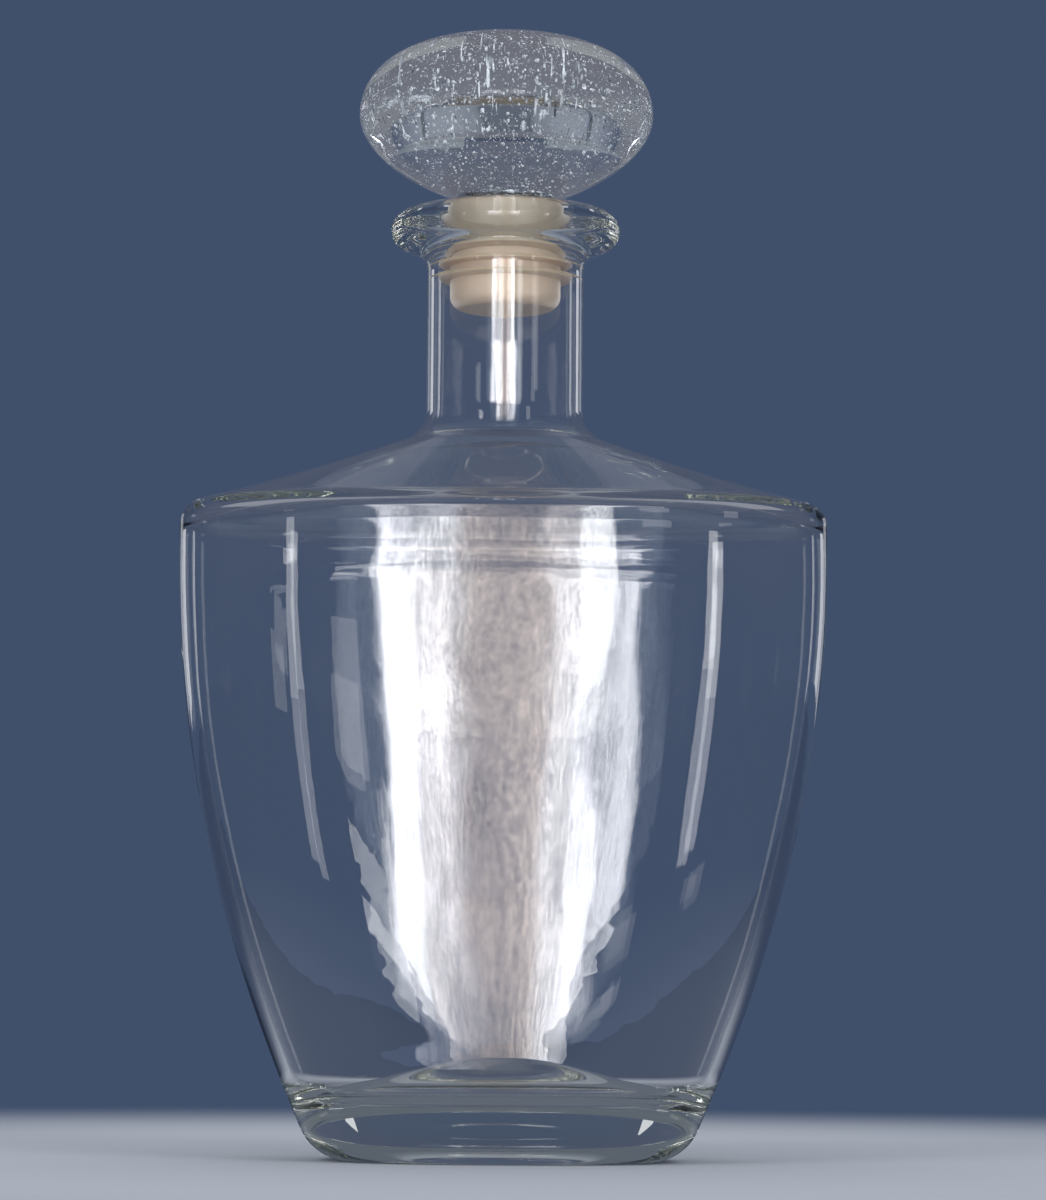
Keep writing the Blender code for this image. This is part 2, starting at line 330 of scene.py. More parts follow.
def arc(centre, radius, start, end, steps=CORNER_STEPS):
    """Points on a circle in the half-profile plane, from angle start to end, measured from +X."""
    points = []
    for step in range(steps + 1):
        angle = start + (end - start) * step / steps
        points.append((centre[0] + radius * math.cos(angle), centre[1] + radius * math.sin(angle)))
    return points


def hollow_slope(low, low_slope, high, high_slope):
    """Points between low and high on a curve that leaves and arrives at the given slopes."""
    reach = math.dist(low, high) / 3
    near_low = (low[0] - reach * math.cos(low_slope), low[1] + reach * math.sin(low_slope))
    near_high = (high[0] + reach * math.cos(high_slope), high[1] - reach * math.sin(high_slope))
    points = []
    for step in range(1, SLOPE_STEPS):
        t = step / SLOPE_STEPS
        weights = ((1 - t) ** 3, 3 * t * (1 - t) ** 2, 3 * t * t * (1 - t), t ** 3)
        corners = (low, near_low, near_high, high)
        across = sum(w * p[0] for w, p in zip(weights, corners))
        up = sum(w * p[1] for w, p in zip(weights, corners))
        points.append((across, up))
    return points


def drawn_in(height, radius):
    """How far a side of the body, an arc of the given radius, has come in at this height."""
    below = max(WIDEST_HEIGHT - height, 0.0)
    return below * below / (2 * radius)


def side_lean(height):
    """The angle of the side to the upright at this height."""
    return math.atan(max(WIDEST_HEIGHT - height, 0.0) / SIDE_RADIUS)


def body_profile(wall, corner_radius, foot_points):
    """Half widths and heights from the foot to the foot of the neck, a wall's thickness inside."""
    half_width = HALF_WIDTH - wall
    foot_end = foot_points[-1]
    corner_x = half_width - corner_radius
    drop = (corner_radius + wall) / math.cos(SHOULDER_SLOPE)
    rise = (corner_radius + wall) * math.tan(SHOULDER_SLOPE)
    corner_z = SHOULDER_HEIGHT + rise - drop
    side = []
    for step in range(1, SIDE_STEPS):
        height = foot_end[1] + (corner_z - foot_end[1]) * step / SIDE_STEPS
        side.append((half_width - drawn_in(height, SIDE_RADIUS), height))
    corner = arc((corner_x, corner_z), corner_radius, 0.0, math.pi / 2 - SHOULDER_SLOPE)
    fillet_x = NECK_RADIUS + NECK_FILLET
    fillet_radius = NECK_FILLET + (NECK_WALL if wall else 0.0)
    fillet = arc((fillet_x, NECK_START), fillet_radius, 1.5 * math.pi - SHOULDER_TOP_SLOPE, math.pi)
    slope = hollow_slope(corner[-1], SHOULDER_SLOPE, fillet[0], SHOULDER_TOP_SLOPE)
    return foot_points + side + corner + slope + fillet


def foot_corner(wall, radius, floor):
    """The rounded corner between a flat at the floor's height and the leaning side."""
    end_angle = -side_lean(floor)
    end_z = floor + radius + radius * math.sin(end_angle)
    end_x = HALF_WIDTH - wall - drawn_in(end_z, SIDE_RADIUS)
    centre = (end_x - radius * math.cos(end_angle), floor + radius)
    return arc(centre, radius, -math.pi / 2, end_angle)


def oval(half_width, height, neck_radius, wall):
    """One level of the body: its half width, half depth, height and squareness."""
    widest = HALF_WIDTH - wall
    deepest = HALF_DEPTH - wall
    if height <= WIDEST_HEIGHT:
        narrowing = half_width / (widest - drawn_in(height, SIDE_RADIUS))
        half_depth = (deepest - drawn_in(height, FACE_RADIUS)) * narrowing
        return (half_width, half_depth, height, BODY_SQUARENESS)
    share = (half_width - neck_radius) / (widest - neck_radius)
    half_depth = neck_radius + (deepest - neck_radius) * share
    squareness = 2 + (BODY_SQUARENESS - 2) * share
    return (half_width, half_depth, height, squareness)


def corner_kept(half_width, height, wall):
    """A level near the foot, whose corner keeps the same inset all the way round."""
    inset = HALF_WIDTH - wall - drawn_in(height, SIDE_RADIUS) - half_width
    half_depth = HALF_DEPTH - wall - drawn_in(height, FACE_RADIUS) - inset
    return (half_width, half_depth, height, BODY_SQUARENESS)


def drawn_inwards(level, inset, height):
    """The same oval at another height, with its edge set in evenly all round."""
    return (level[0] - inset, level[1] - inset, height, level[3])


def dome(edge, top):
    """Levels from inside an edge to near the middle, which rises to the top."""
    levels = []
    for step in range(1, DOME_STEPS):
        share = 1 - step / DOME_STEPS
        height = edge[2] + (top - edge[2]) * (1 - share * share)
        levels.append((edge[0] * share, edge[1] * share, height, edge[3]))
    return levels


def lip_levels():
    """The disc lip: a fillet, a sloping underside, a rounded rim, a flat top and a rounded mouth."""
    half = LIP_THICKNESS / 2
    rim_x = LIP_RADIUS - half
    rim_z = LIP_TOP - half
    upright = math.pi / 2 - LIP_UNDER_SLOPE
    under_x = rim_x + half * math.sin(LIP_UNDER_SLOPE)
    under_z = rim_z - half * math.cos(LIP_UNDER_SLOPE)
    meeting_z = under_z - (under_x - NECK_RADIUS) * math.tan(LIP_UNDER_SLOPE)
    fillet_z = meeting_z - LIP_FILLET * math.tan(upright / 2)
    points = arc((NECK_RADIUS + LIP_FILLET, fillet_z), LIP_FILLET, math.pi, math.pi - upright)
    points += arc((rim_x, rim_z), half, -upright, math.pi / 2, 2 * CORNER_STEPS)
    points += arc((BORE_RADIUS + MOUTH_ROUND, LIP_TOP - MOUTH_ROUND), MOUTH_ROUND, math.pi / 2, math.pi)
    return [(radius, radius, height, 2) for radius, height in points]


def body_levels():
    """The glass from the middle of the hollow foot, round the lip, to the middle of the floor.

    The second result is the number of the first level that is inside the bore.
    """
    outer_foot = foot_corner(0.0, FOOT_CORNER_RADIUS, 0.0)
    outer = body_profile(0.0, SHOULDER_CORNER_RADIUS, outer_foot)
    inner_foot = foot_corner(WALL, INNER_FOOT_RADIUS, HEEL_THICKNESS)
    inner = body_profile(WALL, INNER_SHOULDER_RADIUS, inner_foot)

    foot_count = len(outer_foot)
    outer_levels = [corner_kept(x, z, 0.0) for x, z in outer[:foot_count]]
    outer_levels += [oval(x, z, NECK_RADIUS, 0.0) for x, z in outer[foot_count:]]
    inner_levels = [corner_kept(x, z, WALL) for x, z in inner[:foot_count]]
    inner_levels += [oval(x, z, BORE_RADIUS, WALL) for x, z in inner[foot_count:]]

    ring_inner = drawn_inwards(outer_levels[0], RESTING_RING, 0.0)
    punt_edge = drawn_inwards(ring_inner, PUNT_EDGE, PUNT_EDGE / 2)
    punt = dome(punt_edge, PUNT_HEIGHT)
    floor = dome(inner_levels[0], HEEL_THICKNESS + FLOOR_DOME)

    outside = punt[::-1] + [punt_edge, ring_inner] + outer_levels + lip_levels()
    return outside + inner_levels[::-1] + floor, len(outside)


def signed_power(value, exponent):
    return math.copysign(abs(value) ** exponent, value)


def spin_round(bm, geometry, steps=AROUND):
    bmesh.ops.spin(
        bm,
        geom=geometry,
        cent=(0.0, 0.0, 0.0),
        axis=(0.0, 0.0, 1.0),
        angle=2 * math.pi,
        steps=steps,
        use_merge=True,
    )


def turned(points, steps=AROUND):
    """A solid of revolution about Z from half-profile points that start and end on the axis."""
    bm = bmesh.new()
    verts = [bm.verts.new((x, 0.0, z)) for x, z in points]
    edges = [bm.edges.new(pair) for pair in zip(verts, verts[1:])]
    spin_round(bm, verts + edges, steps)
    bmesh.ops.remove_doubles(bm, verts=bm.verts, dist=WELD_DISTANCE)
    bmesh.ops.recalc_face_normals(bm, faces=bm.faces)
    return bm


def pressed_oval(levels):
    """A closed skin through the levels: turned round first, then pressed to each level's oval."""
    bm = bmesh.new()
    numbers = bm.verts.layers.int.new("level")
    verts = []
    for number, level in enumerate(levels):
        vert = bm.verts.new((level[0], 0.0, level[2]))
        vert[numbers] = number
        verts.append(vert)
    edges = [bm.edges.new(pair) for pair in zip(verts, verts[1:])]
    spin_round(bm, verts + edges)
    for vert in bm.verts:
        half_width, half_depth, height, squareness = levels[vert[numbers]]
        angle = math.atan2(vert.co.y, vert.co.x)
        vert.co.x = half_width * signed_power(math.cos(angle), 2 / squareness)
        vert.co.y = half_depth * signed_power(math.sin(angle), 2 / squareness)
    bmesh.ops.holes_fill(bm, edges=bm.edges, sides=AROUND)
    bmesh.ops.recalc_face_normals(bm, faces=bm.faces)
    return bm


def waved(bm, first_inside):
    """Gives the walls the slow waves of blown glass, and none at the neck or the foot.

    The mould keeps the outside smoother than the inside.
    """
    numbers = bm.verts.layers.int["level"]
    bm.normal_update()
    moves = []
    for vert in bm.verts:
        inside = vert[numbers] >= first_inside
        height = INNER_WAVE_HEIGHT if inside else OUTER_WAVE_HEIGHT
        length = INNER_WAVE_LENGTH if inside else OUTER_WAVE_LENGTH
        above = min(max((vert.co.z - HEEL_THICKNESS) / HEEL_THICKNESS, 0.0), 1.0)
        below = min(max((NECK_START - vert.co.z) / NECK_RADIUS, 0.0), 1.0)
        wave = noise.noise(vert.co / length + WAVE_START) * height * above * below
        moves.append(wave)
    for vert, move in zip(bm.verts, moves):
        vert.co += vert.normal * move
    bm.verts.layers.int.remove(numbers)


def make_body():
    """The body's glass: its ripples are 11 mm long, and it is a faint yellow-green where it is deep."""
    levels, first_inside = body_levels()
    bm = pressed_oval(levels)
    waved(bm, first_inside)
    glass = clear_glass("blown_soda_lime_glass", "#d6dcc0", 5.0, 90.0, 0.00002)
    piece = add_piece("decanter_glass", bm, glass, "decanter")
    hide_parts("decanter_body")


def knob_point(angle, half_height, squareness):
    """A point of the knob's outline, whose squareness eases in from the rim, at angle 0, to the pole."""
    eased = 2 + (squareness - 2) * math.sqrt(abs(math.sin(angle)))
    across = KNOB_RADIUS * signed_power(math.cos(angle), 2 / eased)
    up = half_height * signed_power(math.sin(angle), 2 / eased)
    return (across, KNOB_MIDDLE + up)


def seat_angle():
    """Where round the lower half the knob is as narrow as its seat, found by halving."""
    low, high = 0.0, math.pi / 2
    for _ in range(SEAT_HALVINGS):
        angle = (low + high) / 2
        if knob_point(-angle, KNOB_LOWER_HALF, KNOB_LOWER_SQUARENESS)[0] > KNOB_SEAT_RADIUS:
            low = angle
        else:
            high = angle
    return low


def make_knob():
    """The knob from the peg's end up. Cast glass ripples more than blown glass, and looks bluer."""
    lowest = seat_angle()
    points = [(0.0, PEG_END)]
    points += arc((PEG_RADIUS - PEG_END_ROUND, PEG_END + PEG_END_ROUND), PEG_END_ROUND, -math.pi / 2, 0.0)
    points += arc((PEG_RADIUS + PEG_FILLET, KNOB_SEAT - PEG_FILLET), PEG_FILLET, math.pi, math.pi / 2)
    points.append((KNOB_SEAT_RADIUS, KNOB_SEAT))
    for step in range(KNOB_STEPS):
        angle = -lowest * (1 - step / KNOB_STEPS)
        points.append(knob_point(angle, KNOB_LOWER_HALF, KNOB_LOWER_SQUARENESS))
    for step in range(KNOB_STEPS):
        angle = math.pi / 2 * step / KNOB_STEPS
        points.append(knob_point(angle, KNOB_TOP_HALF, KNOB_TOP_SQUARENESS))
    points.append((0.0, KNOB_TOP))
    glass = clear_glass("cast_bubbled_glass", "#d0d8e0", 5.0, 70.0, 0.00006)
    piece = add_piece("knob_glass", turned(points), glass, "knob")
    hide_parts("stopper_head")


def in_knob(place, share):
    """Whether a place lies within this share of the knob's size from its middle."""
    across = math.hypot(place[0], place[1]) / (KNOB_RADIUS * share)
    up = place[2] - KNOB_MIDDLE
    if up > 0:
        return across ** KNOB_TOP_SQUARENESS + (up / (KNOB_TOP_HALF * share)) ** KNOB_TOP_SQUARENESS < 1
    deep = -up / (KNOB_LOWER_HALF * share)
    return across ** KNOB_LOWER_SQUARENESS + deep ** KNOB_LOWER_SQUARENESS < 1


def scatter(dice, count, centre_height, spread, reach, small, large):
    """Places and radii of bubbles strewn about a height in the knob, closest together on the axis."""
    found = []
    while len(found) < count:
        angle = dice.uniform(0.0, 2 * math.pi)
        away = reach * math.sqrt(dice.random())
        place = (
            away * math.cos(angle),
            away * math.sin(angle),
            dice.gauss(centre_height, spread),
        )
        radius = small + (large - small) * dice.random() ** 2
        if in_knob(place, BUBBLED_SHARE):
            found.append((place, radius))
    return found


def strewn(dice, bubbles, around, high):
    """A mesh of round bubbles, made a handful at a time, because one mesh of all is slow to build."""
    together = bmesh.new()
    handful = bpy.data.meshes.new("handful_of_bubbles")
    for start in range(0, len(bubbles), HANDFUL):
        bm = bmesh.new()
        for place, radius in bubbles[start:start + HANDFUL]:
            stretch = Matrix.Diagonal((1.0, 1.0, dice.uniform(*BUBBLE_STRETCH), 1.0))
            bmesh.ops.create_uvsphere(
                bm,
                u_segments=around,
                v_segments=high,
                radius=radius,
                matrix=Matrix.Translation(place) @ stretch,
            )
        bm.to_mesh(handful)
        bm.free()
        together.from_mesh(handful)
    bpy.data.meshes.remove(handful)
    return together


def make_bubbles():
    dice = random.Random(BUBBLE_SEED)
    skin = bubble_skin()
    kinds = (("seed_bubbles", CLOUDS, 7, 5), ("finest_seed_bubbles", FINEST_CLOUDS, 5, 4))
    for name, clouds, around, high in kinds:
        bubbles = []
        for cloud in clouds:
            bubbles += scatter(dice, *cloud)
        add_piece(name, strewn(dice, bubbles, around, high), skin, "knob")


def fin(height):
    """One sealing fin round the sleeve: a thin blade with a round edge, thicker at its root."""
    edge = FIN_THICKNESS / 2
    points = [(PLUG_RADIUS, height - FIN_ROOT / 2)]
    points += arc((TOUCH_RADIUS - edge, height), edge, -math.pi / 2, math.pi / 2, FIN_EDGE_STEPS)
    return points + [(PLUG_RADIUS, height + FIN_ROOT / 2)]


def make_sleeve():
    """The sleeve from its closed end up: three fins, a plain band, the collar, and the peg's hollow."""
    rim = COLLAR_RADIUS - COLLAR_ROUND
    end_centre = (PLUG_RADIUS - PLUG_END_ROUND, PLUG_END + PLUG_END_ROUND)
    points = [(0.0, PLUG_END)]
    points += arc(end_centre, PLUG_END_ROUND, -math.pi / 2, 0.0)
    for share in sorted(FIN_DEPTH_SHARES, reverse=True):
        points += fin(LIP_TOP - PLUG_DEPTH * share)
    points += [(PLUG_RADIUS, LIP_TOP - BAND_DEPTH - BAND_ROOT), (BAND_RADIUS, LIP_TOP - BAND_DEPTH)]
    points += [(BAND_RADIUS, LIP_TOP - MOUTH_ROUND), (FIN_RADIUS, COLLAR_BOTTOM)]
    points += arc((rim, COLLAR_BOTTOM + COLLAR_ROUND), COLLAR_ROUND, -math.pi / 2, 0.0, COLLAR_STEPS)
    points += arc((rim, COLLAR_TOP - COLLAR_ROUND), COLLAR_ROUND, 0.0, math.pi / 2, COLLAR_STEPS)
    points += [(HOLLOW_RADIUS + PEG_FILLET, COLLAR_TOP), (HOLLOW_RADIUS, COLLAR_TOP - PEG_FILLET)]
    points += [(HOLLOW_RADIUS, HOLLOW_END), (0.0, HOLLOW_END)]
    bm = turned(points, SLEEVE_AROUND)
    piece = add_piece("sealing_sleeve", bm, ivory_polyethylene(), "sleeve")
    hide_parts("stopper_plug")


# Setting: a pale board in a dusk-blue room
BACKDROP = "#41506a"
BACKDROP_HIGH = "#4f576b"
AMBIENT = "#dfe5ee"
AMBIENT_STRENGTH = 0.35
FLOOR_COLOUR = "#c6ccd6"
FLOOR_REACH = 4.0
FLOOR_FADE = (0.16, 0.48)

# The board as the glass shows it: rings of a distance and a colour where it is looked down on, and
# a sheen like a mirror's that comes in between two slants, where 1 is along the board. The dark
# inner rings are a painted shadow of the foot on the board.
FLOOR_THROUGH_GLASS = (
    # Painted shadow: the darkest ring lies under the foot
    (0.035, "#5d6572"),
    (0.060, "#8a919d"),
    (0.100, "#9ca3af"),
    (0.150, "#9ca3af"),
    (0.400, BACKDROP),
)
RAMP_REACH = 0.5
FLOOR_SHEEN = "#dadade"
FLOOR_SHEEN_SLANT = (0.72, 0.86)

# The window, with the bearings and colours of its frame, its panes and the thin curtain between them
WINDOW_BEARING = -1.0
WINDOW_WIDE = 52.0
WINDOW_LOW = -1.7
WINDOW_HIGH = 11.6
WINDOW_RADIANCE = 6.0
WINDOW_WARP = 0.16
WINDOW_PATCHES = (9.0, 3.0)
WINDOW_GRAIN = 14
WINDOW_BANDS = (
    (-26.0, "#000000"),
    (-23.0, "#3f4247"),
    (-17.5, "#44474c"),
    (-16.0, "#f4f4f8"),
    (-5.5, "#f6f4f4"),
    (-3.5, "#aca096"),
    (-1.0, "#857a70"),
    (3.0, "#857a70"),
    (5.0, "#b5ada8"),
    (8.2, "#b8b2ae"),
    (9.0, "#fbfbfb"),
    (13.2, "#fbfbfb"),
    (14.2, "#44474c"),
    (22.0, "#3f4247"),
    (24.5, "#000000"),
)

# Lamps stand this far off unless they say so, and their elevations are seen from this height
LAMP_DISTANCE = 5.2
EYE_HEIGHT = 0.12

# Lamps: name, bearing, width, lowest and highest elevation, and radiance
HIGH_PANES = (
    ("tall", 23.0, 7.0, 7.8, 9.9, 1.6),
    ("tall_aside", 47.0, 6.0, 7.8, 9.9, 1.6),
    ("low", 20.0, 11.0, 11.0, 11.9, 4.0),
)
STRIPS = (
    ("left", -41.5, 2.8, -1.7, 7.0, 3.2),
    ("right", 41.5, 4.0, -1.7, 6.5, 4.4),
)

# The same without a name, for lamps that stand on both sides
SOFT_PANEL = (42.0, 32.0, 26.0, 46.0, 2.6)
BACK_PANEL = (151.0, 11.0, 1.0, 12.0, 0.5)
INNER_PANELS = ((35.0, 30.0, -40.0, 36.0, 1.55), (145.0, 30.0, -40.0, 36.0, 0.8))
SPARK_PANELS = ((35.0, 40.0, 0.0, 40.0, 4.2), (145.0, 40.0, 0.0, 40.0, 4.2))

# How near the inner panels are, which light the sleeve through the glass, and the bubbles' sparks
NEAR = 0.25

# The same with a hue and a distance, for the pale veils that the knob's glass shows inside its rims
VEILS = (
    ("front", 0.0, 89.0, -70.0, 70.0, 0.150, "#fff6e0", LAMP_DISTANCE),
    ("back", 180.0, 89.0, -70.0, 70.0, 0.040, "#fff4e6", LAMP_DISTANCE),
    ("low_front", 0.0, 90.0, -30.0, -5.5, 0.095, "#fff0d8", 0.4),
    ("low_back", 180.0, 90.0, -30.0, -5.5, 0.095, "#fff0d8", 0.4),
    ("low_left", -90.0, 90.0, -30.0, -5.5, 0.095, "#fff0d8", 0.4),
    ("low_right", 90.0, 90.0, -30.0, -5.5, 0.095, "#fff0d8", 0.4),
    ("rim_left", -138.0, 62.0, -10.5, 3.0, 0.130, "#f6fff2", 1.0),
    ("rim_right", 138.0, 62.0, -10.5, 3.0, 0.130, "#f6fff2", 1.0),
)

# The broad panels above the decanter
OVERHEAD_WIDTH = 3.0
OVERHEAD_HEIGHT = 1.8


def seen_in_glass(tree):
    """1 for what is seen through or in glass, 0 for what the camera sees straight and for lighting."""
    path = add_node(tree, "ShaderNodeLightPath")
    either = add_node(
        tree,
        "ShaderNodeMath",
        links={0: path.outputs["Is Glossy Ray"], 1: path.outputs["Is Transmission Ray"]},
        operation="ADD",
        use_clamp=True,
    )
    return either.outputs["Value"]


def ringed(tree, distance, rings):
    """A colour that changes through the given rings with the distance from the floor's middle."""
    share = add_node(tree, "ShaderNodeMath", {1: RAMP_REACH}, {0: distance}, operation="DIVIDE")
    ramp = add_node(tree, "ShaderNodeValToRGB", links={"Fac": share.outputs["Value"]})
    elements = ramp.color_ramp.elements
    elements.remove(elements[0])
    elements[0].position = rings[0][0] / RAMP_REACH
    elements[0].color = linear(rings[0][1])
    for away, hue in rings[1:]:
        elements.new(away / RAMP_REACH).color = linear(hue)
    return ramp.outputs["Color"]


def make_floor():
    """A board with matt paint: no gloss to the eye, but a mirror to the glass at a grazing slant."""
    bm = bmesh.new()
    bmesh.ops.create_circle(bm, cap_ends=True, segments=96, radius=FLOOR_REACH)
    mesh = bpy.data.meshes.new("floor")
    bm.to_mesh(mesh)
    bm.free()
    floor = bpy.data.objects.new("floor", mesh)
    bpy.context.scene.collection.objects.link(floor)
    material, tree, shader, output = new_material("pale_matt_board")
    set_values(shader, {"Base Color": linear(FLOOR_COLOUR), "Roughness": 0.9, "Specular IOR Level": 0.2})
    place = add_node(tree, "ShaderNodeTexCoord")
    away = add_node(
        tree,
        "ShaderNodeVectorMath",
        links={0: place.outputs["Object"]},
        operation="LENGTH",
    )
    fade = add_node(
        tree,
        "ShaderNodeMapRange",
        {"From Min": FLOOR_FADE[0], "From Max": FLOOR_FADE[1]},
        {"Value": away.outputs["Value"]},
        interpolation_type="SMOOTHSTEP",
    )
    far = add_node(tree, "ShaderNodeEmission", {"Color": linear(BACKDROP), "Strength": 1.0})
    plain = add_node(
        tree,
        "ShaderNodeMixShader",
        links={0: fade.outputs["Result"], 1: shader.outputs["BSDF"], 2: far.outputs["Emission"]},
    )
    slant = add_node(tree, "ShaderNodeLayerWeight", {"Blend": 0.5})
    sheen = add_node(
        tree,
        "ShaderNodeMapRange",
        {"From Min": FLOOR_SHEEN_SLANT[0], "From Max": FLOOR_SHEEN_SLANT[1]},
        {"Value": slant.outputs["Facing"]},
    )
    # The rings glow, and their dark middle is a painted shadow under the foot
    rings = ringed(tree, away.outputs["Value"], FLOOR_THROUGH_GLASS)
    even = add_node(tree, "ShaderNodeEmission", {"Strength": 1.0}, {"Color": rings})
    glossy = add_node(tree, "ShaderNodeBsdfGlossy", {"Color": linear(FLOOR_SHEEN), "Roughness": 0.02})
    seen = add_node(
        tree,
        "ShaderNodeMixShader",
        links={0: sheen.outputs["Result"], 1: even.outputs["Emission"], 2: glossy.outputs["BSDF"]},
    )
    mix = add_node(
        tree,
        "ShaderNodeMixShader",
        links={0: seen_in_glass(tree), 1: plain.outputs["Shader"], 2: seen.outputs["Shader"]},
    )
    tree.links.new(mix.outputs["Shader"], output.inputs["Surface"])
    mesh.materials.append(material)


def make_world():
    """Even pale light all round, the backdrop for the eye, and the same growing greyer in the glass."""
    world = bpy.data.worlds.new("studio")
    bpy.context.scene.world = world
    world.use_nodes = True
    tree = world.node_tree
    output = tree.nodes["World Output"]
    ambient = tree.nodes["Background"]
    set_values(ambient, {"Color": linear(AMBIENT), "Strength": AMBIENT_STRENGTH})
    place = add_node(tree, "ShaderNodeTexCoord")
    axes = add_node(tree, "ShaderNodeSeparateXYZ", links={0: place.outputs["Generated"]})
    rise = add_node(
        tree,
        "ShaderNodeMapRange",
        {"From Min": 0.0, "From Max": 0.5},
        {"Value": axes.outputs["Z"]},
    )
    shade = add_node(tree, "ShaderNodeValToRGB", links={"Fac": rise.outputs["Result"]})
    shade.color_ramp.elements[0].color = linear(BACKDROP)
    shade.color_ramp.elements[1].color = linear(BACKDROP_HIGH)
    backdrop = add_node(
        tree,
        "ShaderNodeBackground",
        {"Strength": 1.0},
        {"Color": shade.outputs["Color"]},
    )
    plain = add_node(tree, "ShaderNodeBackground", {"Color": linear(BACKDROP), "Strength": 1.0})
    path = add_node(tree, "ShaderNodeLightPath")
    seen = add_node(
        tree,
        "ShaderNodeMixShader",
        links={
            0: path.outputs["Is Camera Ray"],
            1: ambient.outputs["Background"],
            2: plain.outputs["Background"],
        },
    )
    mix = add_node(
        tree,
        "ShaderNodeMixShader",
        links={
            0: seen_in_glass(tree),
            1: seen.outputs["Shader"],
            2: backdrop.outputs["Background"],
        },
    )
    tree.links.new(mix.outputs["Shader"], output.inputs["Surface"])


def softbox(
    name, bearing, wide, low, high, radiance, hue="#ffffff", distance=LAMP_DISTANCE, eye=EYE_HEIGHT
):
    """An upright lamp panel that faces the decanter, between two elevations seen from its axis.

    They are seen from the height of the eye. Its bearing runs from the front to the right.
    """
    angle = math.radians(bearing)
    bottom = eye + distance * math.tan(math.radians(low))
    top = eye + distance * math.tan(math.radians(high))
    width = 2 * distance * math.tan(math.radians(wide / 2))
    middle = Vector((distance * math.sin(angle), -distance * math.cos(angle), (bottom + top) / 2))
    lamp = bpy.data.lights.new(name, "AREA")
    lamp.shape = "RECTANGLE"
    lamp.size = width
    lamp.size_y = top - bottom
    lamp.energy = radiance * 4 * width * (top - bottom)
    lamp.color = linear(hue)[:3]
    holder = bpy.data.objects.new(name, lamp)
    facing = Vector((-middle.x, -middle.y, 0.0)).to_track_quat("-Z", "Y")
    holder.matrix_world = Matrix.Translation(middle) @ facing.to_matrix().to_4x4()
    holder.visible_camera = False
    bpy.context.scene.collection.objects.link(holder)
    return holder


def curtained(holder):
    """Breaks the window's light up from left to right, as its panes and the folds of its curtain do."""
    across, up = WINDOW_PATCHES
    span = math.tan(math.radians(WINDOW_WIDE / 2))
    bands = []
    for bearing, hue in WINDOW_BANDS:
        bands.append((0.5 + 0.5 * math.tan(math.radians(bearing - WINDOW_BEARING)) / span, hue))
    lamp = holder.data
    lamp.use_nodes = True
    tree = lamp.node_tree
    spot = add_node(tree, "ShaderNodeNewGeometry")
    stretched = add_node(
        tree,
        "ShaderNodeMapping",
        {"Scale": (across, up, 1.0)},
        {"Vector": spot.outputs["Parametric"]},
    )
    cloud = add_node(
        tree,
        "ShaderNodeTexNoise",
        {"Scale": 1.0, "Detail": 4.0, "Roughness": 0.6},
        {"Vector": stretched.outputs["Vector"]},
    )
    # The bands fan out near the window's top, their edges stray, and the light is stronger higher up
    axes = add_node(tree, "ShaderNodeSeparateXYZ", links={0: spot.outputs["Parametric"]})
    aside = add_node(tree, "ShaderNodeMath", {1: 0.5}, {0: axes.outputs["X"]}, operation="SUBTRACT")
    narrowing = add_node(
        tree,
        "ShaderNodeMapRange",
        {"From Min": 0.6, "From Max": 1.0, "To Min": 1.0, "To Max": 0.8},
        {"Value": axes.outputs["Y"]},
    )
    brighter = add_node(
        tree,
        "ShaderNodeMapRange",
        {"From Min": 0.2, "From Max": 1.0, "To Min": 0.9, "To Max": 1.4},
        {"Value": axes.outputs["Y"]},
    )
    fanned = add_node(
        tree,
        "ShaderNodeMath",
        {2: 0.5 - WINDOW_WARP / 2},
        {0: aside.outputs["Value"], 1: narrowing.outputs["Result"]},
        operation="MULTIPLY_ADD",
    )
    stray = add_node(
        tree,
        "ShaderNodeMath",
        {1: WINDOW_WARP},
        {0: cloud.outputs["Fac"], 2: fanned.outputs["Value"]},
        operation="MULTIPLY_ADD",
    )
    ramp = add_node(tree, "ShaderNodeValToRGB", links={"Fac": stray.outputs["Value"]})
    elements = ramp.color_ramp.elements
    elements.remove(elements[0])
    elements[0].position = bands[0][0]
    elements[0].color = linear(bands[0][1])
    for place, hue in bands[1:]:
        elements.new(place).color = linear(hue)
    # Broad patches and a fine grain break the light up further
    patches = add_node(
        tree,
        "ShaderNodeMapRange",
        {"From Min": 0.36, "From Max": 0.62, "To Min": 0.38, "To Max": 1.55},
        {"Value": cloud.outputs["Color"]},
    )
    finer = add_node(
        tree,
        "ShaderNodeMapping",
        {"Scale": (across * WINDOW_GRAIN, up * WINDOW_GRAIN, 1.0)},
        {"Vector": spot.outputs["Parametric"]},
    )
    grain = add_node(
        tree,
        "ShaderNodeTexNoise",
        {"Scale": 1.0, "Detail": 3.0, "Roughness": 0.7},
        {"Vector": finer.outputs["Vector"]},
    )
    sparkle = add_node(
        tree,
        "ShaderNodeMapRange",
        {"From Min": 0.38, "From Max": 0.62, "To Min": 0.55, "To Max": 1.4},
        {"Value": grain.outputs["Fac"]},
    )
    strength = add_node(
        tree,
        "ShaderNodeMath",
        links={0: patches.outputs["Result"], 1: sparkle.outputs["Result"]},
        operation="MULTIPLY",
    )
    risen = add_node(
        tree,
        "ShaderNodeMath",
        links={0: strength.outputs["Value"], 1: brighter.outputs["Result"]},
        operation="MULTIPLY",
    )
    emission = tree.nodes["Emission"]
    tree.links.new(ramp.outputs["Color"], emission.inputs["Color"])
    tree.links.new(risen.outputs["Value"], emission.inputs["Strength"])


